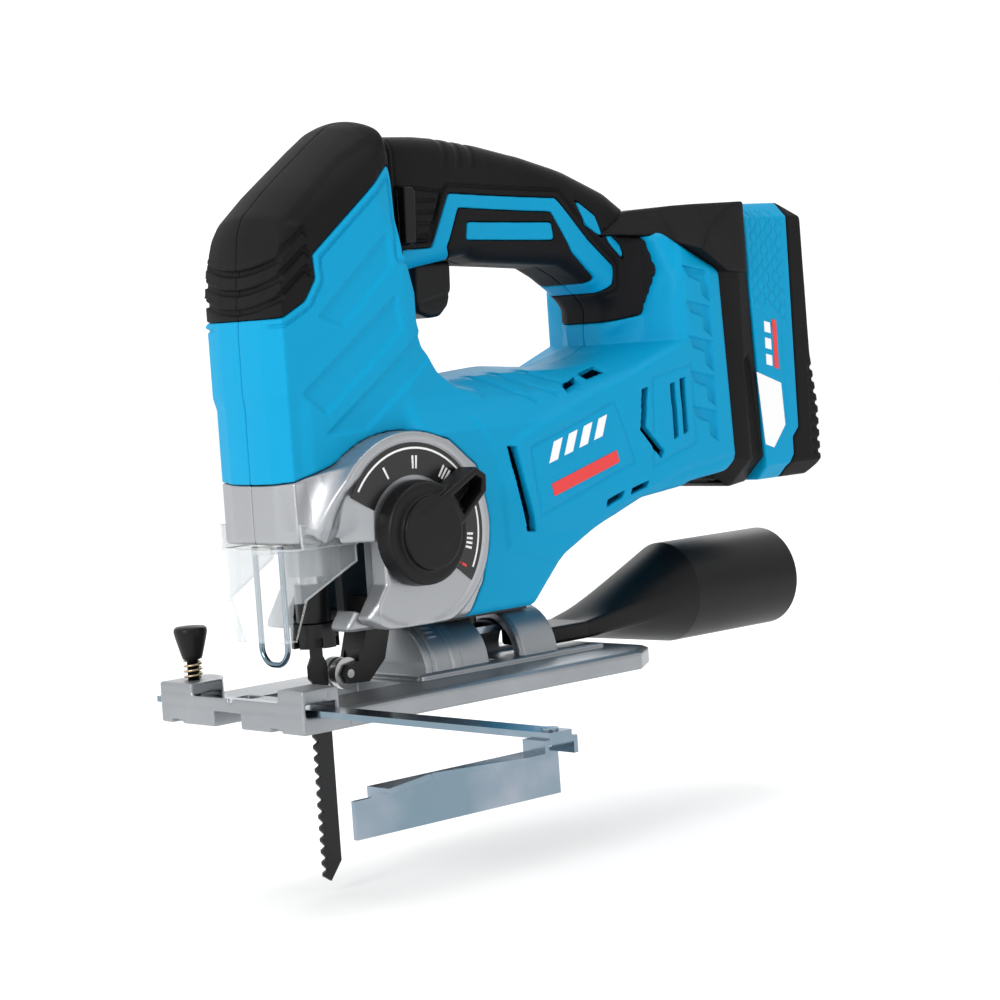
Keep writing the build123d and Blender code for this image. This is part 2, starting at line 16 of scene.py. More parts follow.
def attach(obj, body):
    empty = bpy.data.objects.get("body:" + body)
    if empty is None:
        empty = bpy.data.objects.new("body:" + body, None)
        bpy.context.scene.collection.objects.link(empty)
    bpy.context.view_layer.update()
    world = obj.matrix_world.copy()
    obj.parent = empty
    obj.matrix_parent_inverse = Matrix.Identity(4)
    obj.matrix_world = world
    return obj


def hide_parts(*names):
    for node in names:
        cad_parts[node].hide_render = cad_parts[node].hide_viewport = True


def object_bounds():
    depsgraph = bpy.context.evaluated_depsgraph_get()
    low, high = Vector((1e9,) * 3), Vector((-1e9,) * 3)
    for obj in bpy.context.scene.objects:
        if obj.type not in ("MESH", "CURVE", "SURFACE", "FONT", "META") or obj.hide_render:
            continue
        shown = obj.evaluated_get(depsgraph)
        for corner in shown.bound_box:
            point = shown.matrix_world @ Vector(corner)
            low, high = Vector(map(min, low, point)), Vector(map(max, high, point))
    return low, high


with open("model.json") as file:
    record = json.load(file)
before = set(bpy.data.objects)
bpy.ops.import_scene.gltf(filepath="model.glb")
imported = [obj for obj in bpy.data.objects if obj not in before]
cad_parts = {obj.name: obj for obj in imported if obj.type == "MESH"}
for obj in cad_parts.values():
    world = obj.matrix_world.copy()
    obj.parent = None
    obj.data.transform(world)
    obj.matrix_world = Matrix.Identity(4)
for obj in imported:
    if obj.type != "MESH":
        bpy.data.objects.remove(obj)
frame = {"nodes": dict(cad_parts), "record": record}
cad_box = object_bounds()
MM = 0.001

# %% [markdown]
# ## Camera, floor and light
# A long lens keeps the tool's proportions. It looks a little down at the front left corner.

# %% Camera
LENS_MM = 97.2
YAW, PITCH, ROLL = np.radians((42.76, 3.90, -3.95))
EYE = Vector((-0.5723, -0.7162, 0.1303))


def aim_camera():
    forward = Vector((np.sin(YAW) * np.cos(PITCH), np.cos(YAW) * np.cos(PITCH), -np.sin(PITCH)))
    right = Vector((np.cos(YAW), -np.sin(YAW), 0.0))
    up = right.cross(forward)
    tilted_right = np.cos(ROLL) * right + np.sin(ROLL) * up
    tilted_up = -np.sin(ROLL) * right + np.cos(ROLL) * up
    data = bpy.data.cameras.new("camera")
    data.lens, data.sensor_width, data.clip_start = LENS_MM, 36.0, 0.01
    camera = bpy.data.objects.new("camera", data)
    turn = Matrix((tilted_right, tilted_up, -forward)).transposed()
    camera.matrix_world = Matrix.Translation(EYE) @ turn.to_4x4()
    bpy.context.scene.collection.objects.link(camera)
    bpy.context.scene.camera = camera
    return camera


camera = aim_camera()
print("camera at", [round(v, 3) for v in camera.location])

# %% [markdown]
# A plain floor under the blade's tip and four large soft lights make a pale studio. The key light is on
# the left, as moulded plastic shows its form best with one side brighter than the other. The room is
# white, and darker towards -Y, so metal and black rubber have something dark to reflect.

# %% Floor and lights
STAGE_Z = cad_box[0][2] - 0.004
ROOM_STRENGTH, DARK_SIDE = 1.15, 0.45


def make_floor():
    data = bpy.data.meshes.new("floor")
    reach = 6.0
    data.from_pydata([(-reach, -reach, STAGE_Z), (reach, -reach, STAGE_Z), (reach, reach, STAGE_Z),
                      (-reach, reach, STAGE_Z)], [], [(0, 1, 2, 3)])
    floor = bpy.data.objects.new("floor", data)
    bpy.context.scene.collection.objects.link(floor)
    material = bpy.data.materials.new("studio_floor")
    material.use_nodes = True
    shader = material.node_tree.nodes["Principled BSDF"]
    shader.inputs["Base Color"].default_value = (0.97, 0.97, 0.97, 1)
    shader.inputs["Roughness"].default_value = 0.9
    data.materials.append(material)


def soft_light(name, place, size, watts):
    data = bpy.data.lights.new(name, "AREA")
    data.shape, data.size, data.energy = "DISK", size, watts
    light = bpy.data.objects.new(name, data)
    light.location = place
    light.rotation_euler = (Vector((0.06, 0, 0.08)) - light.location).to_track_quat("-Z", "Y").to_euler()
    bpy.context.scene.collection.objects.link(light)


def make_room():
    world = bpy.data.worlds.new("studio")
    bpy.context.scene.world = world
    world.use_nodes = True
    nodes, links = world.node_tree.nodes, world.node_tree.links
    toward = nodes.new("ShaderNodeTexCoord")
    across = nodes.new("ShaderNodeSeparateXYZ")
    shade = nodes.new("ShaderNodeMapRange")
    shade.inputs["From Min"].default_value, shade.inputs["From Max"].default_value = -0.9, -0.2
    shade.inputs["To Min"].default_value, shade.inputs["To Max"].default_value = DARK_SIDE, 1.0
    links.new(toward.outputs["Generated"], across.inputs["Vector"])
    links.new(across.outputs["Y"], shade.inputs["Value"])
    links.new(shade.outputs["Result"], nodes["Background"].inputs["Color"])
    nodes["Background"].inputs["Strength"].default_value = ROOM_STRENGTH


make_floor()
soft_light("key", Vector((-1.3, -0.25, 0.7)), 0.6, 9)
soft_light("front_fill", Vector((0.3, -1.5, 0.4)), 1.0, 3)
soft_light("top", Vector((0.2, 0.1, 1.5)), 0.8, 4)
soft_light("back", Vector((1.2, 0.9, 0.8)), 0.8, 3)
make_room()
bpy.context.scene.view_settings.view_transform = "Standard"
print("floor at", round(STAGE_Z, 4))

# %% [markdown]
# ## Finishes
# Two shader groups are shared. "grain" is the fine spark-eroded texture of a mould or a casting: it
# gives a height for the bump, and a roughness that changes a little from place to place. "handling" is a
# broad, faint mask, where hands and dust have dulled a surface.

# %% Shared shader groups
def new_group(name, inputs, outputs):
    group = bpy.data.node_groups.new(name, "ShaderNodeTree")
    for label, value in inputs:
        socket = group.interface.new_socket(label, in_out="INPUT", socket_type="NodeSocketFloat")
        socket.default_value = value
    for label in outputs:
        group.interface.new_socket(label, in_out="OUTPUT", socket_type="NodeSocketFloat")
    entry = group.nodes.new("NodeGroupInput")
    leave = group.nodes.new("NodeGroupOutput")
    return group, entry, leave


def make_grain_group():
    group, entry, leave = new_group("grain", [("Scale", 900.0), ("Roughness", 0.5), ("Spread", 0.08)],
                                    ["Height", "Roughness"])
    place = group.nodes.new("ShaderNodeTexCoord")
    fine = group.nodes.new("ShaderNodeTexNoise")
    fine.inputs["Detail"].default_value = 3.0
    group.links.new(place.outputs["Object"], fine.inputs["Vector"])
    group.links.new(entry.outputs["Scale"], fine.inputs["Scale"])
    group.links.new(fine.outputs["Fac"], leave.inputs["Height"])
    broad = group.nodes.new("ShaderNodeTexNoise")
    broad.inputs["Scale"].default_value = 45.0
    group.links.new(place.outputs["Object"], broad.inputs["Vector"])
    centred = group.nodes.new("ShaderNodeMath")
    centred.operation = "SUBTRACT"
    centred.inputs[1].default_value = 0.5
    group.links.new(broad.outputs["Fac"], centred.inputs[0])
    swing = group.nodes.new("ShaderNodeMath")
    swing.operation = "MULTIPLY_ADD"
    group.links.new(centred.outputs[0], swing.inputs[0])
    group.links.new(entry.outputs["Spread"], swing.inputs[1])
    group.links.new(entry.outputs["Roughness"], swing.inputs[2])
    group.links.new(swing.outputs[0], leave.inputs["Roughness"])
    return group


def make_handling_group():
    group, entry, leave = new_group("handling", [("Amount", 0.3), ("Scale", 25.0)], ["Mask"])
    place = group.nodes.new("ShaderNodeTexCoord")
    cloud = group.nodes.new("ShaderNodeTexNoise")
    cloud.inputs["Detail"].default_value = 5.0
    group.links.new(place.outputs["Object"], cloud.inputs["Vector"])
    group.links.new(entry.outputs["Scale"], cloud.inputs["Scale"])
    band = group.nodes.new("ShaderNodeMapRange")
    band.inputs["From Min"].default_value, band.inputs["From Max"].default_value = 0.45, 0.75
    group.links.new(cloud.outputs["Fac"], band.inputs["Value"])
    group.links.new(entry.outputs["Amount"], band.inputs["To Max"])
    group.links.new(band.outputs["Result"], leave.inputs["Mask"])
    return group


GRAIN = make_grain_group()
HANDLING = make_handling_group()
print("groups:", GRAIN.name, HANDLING.name)


# %% [markdown]
# Every finish starts from the same recipe: a base colour that is dulled a little by the handling mask,
# and a bump and a roughness from the grain. What differs is the size and depth of the grain, the gloss
# and the metal.

# %% The recipe
def finish(name, colour, rough, metal=0.0, grain=900.0, bump=0.1, spread=0.08, worn=0.15,
           worn_colour=None, shine=0.5):
    material = bpy.data.materials.new(name)
    material.use_nodes = True
    nodes, links = material.node_tree.nodes, material.node_tree.links
    shader = nodes["Principled BSDF"]
    shader.inputs["Metallic"].default_value = metal
    shader.inputs["Specular IOR Level"].default_value = shine
    grains = nodes.new("ShaderNodeGroup")
    grains.node_tree = GRAIN
    for label, value in (("Scale", grain), ("Roughness", rough), ("Spread", spread)):
        grains.inputs[label].default_value = value
    links.new(grains.outputs["Roughness"], shader.inputs["Roughness"])
    relief = nodes.new("ShaderNodeBump")
    relief.inputs["Strength"].default_value = bump
    relief.inputs["Distance"].default_value = 0.0002
    links.new(grains.outputs["Height"], relief.inputs["Height"])
    links.new(relief.outputs["Normal"], shader.inputs["Normal"])
    hands = nodes.new("ShaderNodeGroup")
    hands.node_tree = HANDLING
    hands.inputs["Amount"].default_value = worn
    blend = nodes.new("ShaderNodeMix")
    blend.data_type = "RGBA"
    pale = worn_colour or tuple(min(1.0, c * 1.15 + 0.01) for c in colour)
    blend.inputs["A"].default_value = (*colour, 1)
    blend.inputs["B"].default_value = (*pale, 1)
    links.new(hands.outputs["Mask"], blend.inputs["Factor"])
    links.new(blend.outputs["Result"], shader.inputs["Base Color"])
    return material


BLUE = finish("blue_abs", (0.0, 0.28, 0.51), 0.5, grain=1600, bump=0.12, worn=0.12,
              worn_colour=(0.0, 0.31, 0.55), shine=0.12)
RUBBER = finish("soft_rubber", (0.0052, 0.0049, 0.0056), 0.6, grain=2200, bump=0.5, worn=0.3,
                worn_colour=(0.011, 0.0105, 0.0115), shine=0.12)
SEAT = finish("seat_nylon", (0.005, 0.0048, 0.0054), 0.55, grain=800, bump=0.9, worn=0.3, shine=0.15)
BLACK = finish("black_nylon", (0.0045, 0.0045, 0.005), 0.4, grain=1800, bump=0.3, worn=0.2, shine=0.2)
SILVER = finish("silver_abs", (0.36, 0.37, 0.385), 0.34, metal=0.8, grain=2600, bump=0.25, worn=0.2)
CAST = finish("die_cast", (0.29, 0.305, 0.32), 0.36, metal=0.9, grain=2400, bump=0.5, spread=0.15,
              worn=0.35, worn_colour=(0.42, 0.44, 0.46))
ZINC = finish("zinc_plate", (0.17, 0.24, 0.29), 0.16, metal=1.0, grain=700, bump=0.08, spread=0.2,
              worn=0.8, worn_colour=(0.40, 0.40, 0.46))
DARK_STEEL = finish("blackened_steel", (0.010, 0.010, 0.011), 0.35, metal=0.3, grain=1500, bump=0.15,
                    shine=0.4)
STEEL = finish("ground_steel", (0.42, 0.42, 0.42), 0.25, metal=1.0, grain=1200, bump=0.08)
SPRING = finish("spring_wire", (0.50, 0.40, 0.26), 0.28, metal=1.0)
BRASS = finish("brass", (0.75, 0.56, 0.26), 0.3, metal=1.0)
COPPER = finish("copper", (0.72, 0.36, 0.22), 0.3, metal=1.0)
BOARD = finish("circuit_board", (0.02, 0.16, 0.06), 0.4)
CELL = finish("cell_sleeve", (0.05, 0.30, 0.28), 0.3)
MAGNET = finish("ferrite", (0.05, 0.05, 0.05), 0.7)
LABEL = finish("label_black", (0.008, 0.008, 0.009), 0.25, bump=0.02, worn=0.05)
WHITE = finish("print_white", (0.85, 0.85, 0.85), 0.35, bump=0.02, worn=0.05)
RED = finish("print_red", (0.72, 0.03, 0.03), 0.35, bump=0.02, worn=0.05)
FINISHES = {"blue_shell": BLUE, "rubber": RUBBER, "black_plastic": BLACK, "silver_plastic": SILVER,
            "label": LABEL, "die_cast": CAST, "zinc_plate": ZINC, "dark_steel": DARK_STEEL,
            "bright_steel": STEEL, "spring_steel": SPRING, "brass": BRASS, "copper": COPPER,
            "board": BOARD, "cell": CELL, "magnet": MAGNET}
print(len(FINISHES), "finishes")


# %% Clear plastic
def clear_plastic(name, tint, rough):
    """A see-through shell: plain alpha with a glossy coat, so that it stays clear in any viewer."""
    material = bpy.data.materials.new(name)
    material.use_nodes = True
    nodes, links = material.node_tree.nodes, material.node_tree.links
    shader = nodes["Principled BSDF"]
    shader.inputs["Base Color"].default_value = (*tint, 1)
    shader.inputs["Roughness"].default_value = rough
    shader.inputs["IOR"].default_value = 1.5
    edge = nodes.new("ShaderNodeLayerWeight")
    edge.inputs["Blend"].default_value = 0.35
    spread = nodes.new("ShaderNodeMapRange")
    spread.inputs["To Min"].default_value, spread.inputs["To Max"].default_value = 0.10, 0.8
    links.new(edge.outputs["Facing"], spread.inputs["Value"])
    links.new(spread.outputs["Result"], shader.inputs["Alpha"])
    return material


CLEAR = clear_plastic("clear_guard", (0.62, 0.66, 0.68), 0.08)
FINISHES["clear"] = CLEAR
FINISHES["lens"] = clear_plastic("clear_lens", (0.95, 0.95, 0.90), 0.12)
for subpart in frame["record"]["subparts"]:
    mesh = frame["nodes"][subpart["node"]].data
    mesh.materials.clear()
    mesh.materials.append(FINISHES[subpart["material_slot"]])
print("every CAD node has its finish")

# %% [markdown]
# ## Distance fields
# A field is an array over a grid. Outlines are drawn in side view (X, Z), in plan (X, Y) or from the
# front (Y, Z), and broadcasting turns them into solids. `meet` and `join` round the edge where two
# surfaces come together, as a mould does. `skin` finds the surface and makes the mesh: each grid cell
# that the surface crosses gets one point, and each grid edge that it crosses gets one face.

# %% The grid
FINE = 0.5


class Grid:
    def __init__(self, low, high, step):
        self.low, self.step = np.array(low, float), step
        axes = [np.arange(a, b + step, step, dtype=np.float32) for a, b in zip(low, high)]
        self.x = axes[0][:, None, None]
        self.y = axes[1][None, :, None]
        self.z = axes[2][None, None, :]

    def soften(self, field, radius):
        """Blurs a flat field, so that the corners of its outline turn round."""
        cells = max(1, int(round(radius / self.step / 1.6)))
        for axis in range(3):
            if field.shape[axis] == 1:
                continue
            for _ in range(2):
                pad = [(0, 0)] * 3
                pad[axis] = (cells + 1, cells)
                total = np.cumsum(np.pad(field, pad, mode="edge").astype(np.float64), axis=axis)
                size = field.shape[axis]
                upper = np.take(total, range(2 * cells + 1, 2 * cells + 1 + size), axis=axis)
                lower = np.take(total, range(0, size), axis=axis)
                field = ((upper - lower) / (2 * cells + 1)).astype(np.float32)
        return field


def polygon(u, v, corners):
    """Signed distance to a closed outline, negative inside."""
    nearest = np.full(np.broadcast(u, v).shape, 1e9, np.float32)
    inside = np.zeros(nearest.shape, bool)
    for (au, av), (bu, bv) in zip(corners, corners[1:] + corners[:1]):
        eu, ev = bu - au, bv - av
        t = np.clip(((u - au) * eu + (v - av) * ev) / (eu * eu + ev * ev), 0, 1)
        nearest = np.minimum(nearest, (u - au - t * eu) ** 2 + (v - av - t * ev) ** 2)
        if av != bv:
            crosses = ((v < av) != (v < bv)) & (u < au + (v - av) * eu / ev)
            inside ^= crosses
    return np.sqrt(nearest) * np.where(inside, -1, 1).astype(np.float32)


def line(u, v, points):
    """Distance to an open line through the points."""
    nearest = np.full(np.broadcast(u, v).shape, 1e9, np.float32)
    for (au, av), (bu, bv) in zip(points, points[1:]):
        eu, ev = bu - au, bv - av
        t = np.clip(((u - au) * eu + (v - av) * ev) / (eu * eu + ev * ev), 0, 1)
        nearest = np.minimum(nearest, (u - au - t * eu) ** 2 + (v - av - t * ev) ** 2)
    return np.sqrt(nearest)


def meet(a, b, r=0.6):
    """The part inside both, with its edge rounded."""
    return np.minimum(np.maximum(a, b), -r) + np.hypot(np.maximum(a + r, 0), np.maximum(b + r, 0))


def join(a, b, k=2.0):
    """Both parts, with a fillet where they come together."""
    h = np.maximum(k - np.abs(a - b), 0) / k
    return np.minimum(a, b) - h * h * k / 4


def groove(distance, width, depth):
    """How far a surface sinks under a line: full depth in the middle, fading at its lips."""
    return depth * np.clip((width - distance) / (0.45 * width), 0, 1)


def sunk(region, depth, lip=0.8):
    """How far a surface sinks inside an outline."""
    return depth * np.clip(0.5 - region / lip, 0, 1)


def block(g, x, y, z):
    """A box given by its ranges."""
    return np.maximum(np.maximum(x[0] - g.x, g.x - x[1]),
                      np.maximum(np.maximum(y[0] - g.y, g.y - y[1]), np.maximum(z[0] - g.z, g.z - z[1])))


# %% From field to mesh
CORNERS = [(0, 0, 0), (1, 0, 0), (0, 1, 0), (1, 1, 0), (0, 0, 1), (1, 0, 1), (0, 1, 1), (1, 1, 1)]
EDGES = [(a, b) for a in range(8) for b in range(a + 1, 8)
         if sum(abs(p - q) for p, q in zip(CORNERS[a], CORNERS[b])) == 1]


def skin(grid, field):
    """Points and faces of the surface where the field is zero."""
    field = np.pad(field, 1, constant_values=1.0)
    inside = field < 0
    nx, ny, nz = (n - 1 for n in field.shape)
    views = [(slice(i, i + nx), slice(j, j + ny), slice(k, k + nz)) for i, j, k in CORNERS]
    count = sum(inside[v].astype(np.int8) for v in views)
    cells = np.argwhere((count > 0) & (count < 8))
    values = np.stack([field[tuple((cells + c).T)] for c in CORNERS], 1)
    total, hits = np.zeros((len(cells), 3)), np.zeros(len(cells))
    for a, b in EDGES:
        fa, fb = values[:, a], values[:, b]
        crossed = (fa < 0) != (fb < 0)
        t = (fa[crossed] / (fa[crossed] - fb[crossed]))[:, None]
        pa, pb = np.array(CORNERS[a]), np.array(CORNERS[b])
        total[crossed] += pa + t * (pb - pa)
        hits[crossed] += 1
    points = grid.low + grid.step * (cells + total / hits[:, None] - 1)
    number = np.full((nx, ny, nz), -1, np.int64)
    number[tuple(cells.T)] = np.arange(len(cells))
    faces = []
    for axis in range(3):
        one, two = (axis + 1) % 3, (axis + 2) % 3
        ahead = [slice(0, n) for n in (nx, ny, nz)]
        first = inside[tuple(ahead)]
        ahead[axis] = slice(1, (nx, ny, nz)[axis] + 1)
        second = inside[tuple(ahead)]
        for flip, mask in ((False, first & ~second), (True, ~first & second)):
            at = np.argwhere(mask)
            at = at[(at[:, one] > 0) & (at[:, two] > 0)]
            back_one, back_two = np.zeros(3, int), np.zeros(3, int)
            back_one[one], back_two[two] = 1, 1
            ring = [at - back_one - back_two, at - back_two, at, at - back_one]
            quad = np.stack([number[tuple(r.T)] for r in ring], 1)
            faces.append(quad[:, ::-1] if flip else quad)
    return points, np.concatenate(faces)


def place(name, data, material, body, slot, replaces=()):
    """Puts a mesh in the scene with its finish, on its body."""
    piece = bpy.data.objects.new(name, data)
    bpy.context.scene.collection.objects.link(piece)
    data.materials.clear()
    data.materials.append(material)
    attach(piece, body)
    if replaces:
        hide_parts(*replaces)
    return piece


def mesh_object(name, points, faces, material, body, slot, replaces=()):
    """A piece from arrays of points in millimetres and faces."""
    data = bpy.data.meshes.new(name)
    data.vertices.add(len(points))
    data.vertices.foreach_set("co", (np.asarray(points) * MM).astype(np.float32).ravel())
    sides = faces.shape[1]
    data.loops.add(faces.size)
    data.loops.foreach_set("vertex_index", faces.ravel().astype(np.int32))
    data.polygons.add(len(faces))
    data.polygons.foreach_set("loop_start", np.arange(0, faces.size, sides, dtype=np.int32))
    data.update(calc_edges=True)
    data.validate()
    data.shade_smooth()
    return place(name, data, material, body, slot, replaces)


def grow(name, grid, field, material, body, slot, replaces=(), mirror=False, thin=0.0):
    """Makes the piece where the field is negative. mirror flips it to the other side of the tool."""
    points, faces = skin(grid, field)
    if mirror:
        points = points * np.array([1, -1, 1])
        faces = faces[:, ::-1]
    piece = mesh_object(name, points, faces, material, body, slot, replaces)
    if thin:
        lighten = piece.modifiers.new("lighten", "DECIMATE")
        lighten.ratio = thin
    print(f"{name}: {len(faces)} faces")
    return piece

# %% [markdown]
# ## The body's shape
# Three forms make the body: the tall head over the gears, the motor barrel with its square rear, and the
# handle. Each is a side outline met with a width. Only the left half is grown; the right is its mirror.

# %% Outlines in millimetres
HEAD_SIDE = [(-24, 58.4), (-24, 80), (-23.3, 131), (-22, 150), (-20.9, 162.7), (-18.3, 168.2),
             (-7.5, 177.7), (12.1, 192.5), (20, 198.0), (25.5, 200.3), (29.5, 199.2),
             (32.4, 194.5), (33.6, 187), (33.6, 130),
             (37, 120), (42, 112.5), (50, 107), (60, 104), (60, 28.3), (-4, 28.3), (-4, 29.6),
             (6, 43.7), (6, 58.4)]
HEAD_PLAN = [(-24, -20), (-24, 4), (-23.2, 11), (-20.3, 20.5), (14, 25.4), (28, 27), (40, 26), (60, 26),
             (60, -20)]
BARREL_SIDE = [(26, 28.3), (75, 28.3), (90, 44.6), (104, 51.3), (130, 62), (152, 64), (150, 114),
               (108, 111), (97, 112), (83, 114), (60, 111), (26, 108)]
REAR_SIDE = [(70, 58), (104, 54), (130, 62), (174, 66.7), (179.5, 70.6), (176.5, 142.7), (154, 157),
             (146, 158), (139, 152), (138, 128), (131, 114.5), (90, 104.6), (66, 98)]
COLUMN_PLAN = [(138, -20), (138, 9), (144, 15), (149, 21), (152.5, 31), (156, 40), (200, 40), (200, -20)]
TUBE_FRONT = [(31, 20), (33, 48), (33, 92), (27, 102), (17, 110), (0, 113.5), (-5, 113.5), (-5, 20)]
REAR_FRONT = [(33, 55), (36, 66), (36, 140), (28, 160), (-5, 160), (-5, 55)]
HANDLE_SIDE = [(24, 194), (50, 194), (60, 193.3), (80, 190.8), (100, 186.7), (120, 181), (140, 173),
               (150, 166.5), (158, 159.5), (164, 148), (167, 136), (167, 122), (140, 122), (140.5, 130),
               (133, 137), (124, 143), (116, 147), (78, 149.4), (70, 152),
               (48, 149), (38, 147), (24, 147)]
FOOT_FRONT = [(26, 60), (37, 70), (37, 148), (26, 166.5), (-5, 166.5), (-5, 60)]
DIAL = (19.5, 59.7)
RING_R, RING_FACE = 34.3, 33.5
SKIN_WALL = 2.6
SEAM = 0.06


def body_form(g, width):
    """The outside of the whole body, before any detail."""
    forward = 0.2 + 0.8 * np.clip((30 - g.x) / 8, 0, 1)
    head_round = 2.0 + 13.0 * np.clip((g.z - 152) / 42, 0, 1) * forward
    crown = 0.010 * width ** 2 * np.clip((g.z - 140) / 25, 0, 1)
    head_side = g.soften(polygon(g.x, g.z, HEAD_SIDE), 1.4) + crown
    head = meet(head_side, polygon(g.x, width, HEAD_PLAN), head_round)
    barrel = meet(g.soften(polygon(g.x, g.z, BARREL_SIDE), 1.8), polygon(width, g.z, TUBE_FRONT), 3.0)
    rear = meet(g.soften(polygon(g.x, g.z, REAR_SIDE), 1.8), polygon(width, g.z, REAR_FRONT), 3.0)
    rear = meet(rear, width - 33.2 - 2.8 * np.clip((g.x - 112) / 40, 0, 1), 1.0)
    column = polygon(g.x, width, COLUMN_PLAN) - np.clip((117 - g.z) * 2.5, 0, 90)
    rear = meet(rear, column, 4.0)
    barrel = join(barrel, rear, 5.0)
    grip_half = 17 - 1.5 * np.clip((g.x - 60) / 20, 0, 1) * np.clip((115 - g.x) / 20, 0, 1)
    grip = meet(g.soften(polygon(g.x, g.z, HANDLE_SIDE), 2.0), width - grip_half, 7.5)
    return join(join(head, barrel, 3.0), grip, 4.0)


# %% [markdown]
# The details are drawn in side view. Bands, vents and recesses sink into the surface, and beads stand
# along the line where the rubber meets the blue shell.

# %% Regions and details
CAP = [(-40, 133.5), (-19.9, 134.4), (-11, 139.4), (-6.5, 146.5), (-7, 154.5), (27, 184), (28.5, 178),
       (28.5, 153), (33, 153), (33, 210), (-40, 210)]
HANDLE_RUBBER = [(33.4, 155), (52, 155), (56, 148.8), (70, 152), (78, 147), (117, 144.5),
                 (123, 141), (129, 136), (119, 134.7), (117, 125.8), (125.4, 122.5), (149, 127),
                 (151.5, 143), (150, 156), (156, 168), (150, 215), (33, 215)]
FRAME_OUT = [(30, 154.8), (50.7, 155.3), (60, 173.9), (112, 171.2), (127, 155.5), (139, 145.5),
             (138.5, 138.7), (126.5, 130.8), (119.5, 134.7), (121, 139), (70, 139), (30, 139)]
FRAME_IN = [(58, 155.3), (64.5, 168.7), (109.5, 166.2), (118.5, 151.5), (131, 141.5), (124.5, 135.6),
            (117, 139), (72, 145), (64.5, 148.5)]
WINDOW = [(68.4, 163.8), (109.3, 162.6), (110.1, 156), (67.5, 157.4)]
REAR_WINDOWS = [[(120.6, 171.1), (131.4, 164.2), (135.3, 155.3), (126.5, 160.9)],
                [(134.9, 160.3), (143.2, 153.4), (145.1, 147), (137.4, 154.4)]]
NOSE = [(-30, 50), (-30, 77.8), (-20, 80), (-6.6, 84), (6.6, 89.8), (12.8, 93), (22, 94), (38, 90),
        (50, 80), (54, 60), (50, 40), (38, 20), (-10, 20), (-10, 50)]
HEAD_BANDS = [[(22, 160), (24, 150), (3, 130.5), (-6, 134)], [(24, 139), (26, 128), (-6, 102), (-14, 109)],
              [(35, 127), (37, 117), (9, 95.5), (-6, 95)]]
SIDE_PANEL = [(51, 96.5), (146, 117), (158, 152), (174.5, 141), (178, 73), (150, 69.5), (118, 59),
              (98, 49.5), (84, 42), (62, 50), (60, 80)]
PLATE_LINE = [(74, 84), (117, 96.5), (125, 74.5), (77, 60)]
VENTS = [[(64, 85), (67.3, 84.6), (74.6, 54.6), (70.8, 55)],
         [(100, 101.4), (108.4, 104), (109, 106), (100, 103.4)],
         [(112.6, 105), (121, 107.2), (121.4, 109.2), (112.4, 107)],
         [(109.6, 59.6), (117.6, 62.4), (118.6, 64.4), (110.2, 61.8)],
         [(122, 63), (130, 65), (131, 66.8), (122.6, 64.8)],
         [(145.4, 101), (147.7, 101.6), (147.7, 82), (145.4, 81)],
         [(150.6, 102.4), (152.9, 103), (152.9, 83.4), (150.6, 82.4)],
         [(131.2, 100), (134.2, 100.8), (131.2, 86.4), (140, 77), (138.2, 74.6), (128.6, 85.6)]]
LATCH_PANEL = [(137, 104), (157, 108), (157, 79), (134, 72)]
GRIP_PANEL = [(43, 157.5), (50.5, 157.5), (56.5, 174.5), (43, 176)]
GRIP_GROOVES = (159.5, 163.5, 167.5, 171.5)
TOP_RIBS = (60, 67, 74)
HOOK_STEPS = (140, 127, 114, 101, 88)
TUBE_RIBS = [[(60, 111), (72, 106), (84, 99)], [(69, 113), (82, 107), (95, 101)],
             [(79, 114), (92, 109), (106, 103)]]
CAP_LINES = (137.0, 143.4, 149.8)


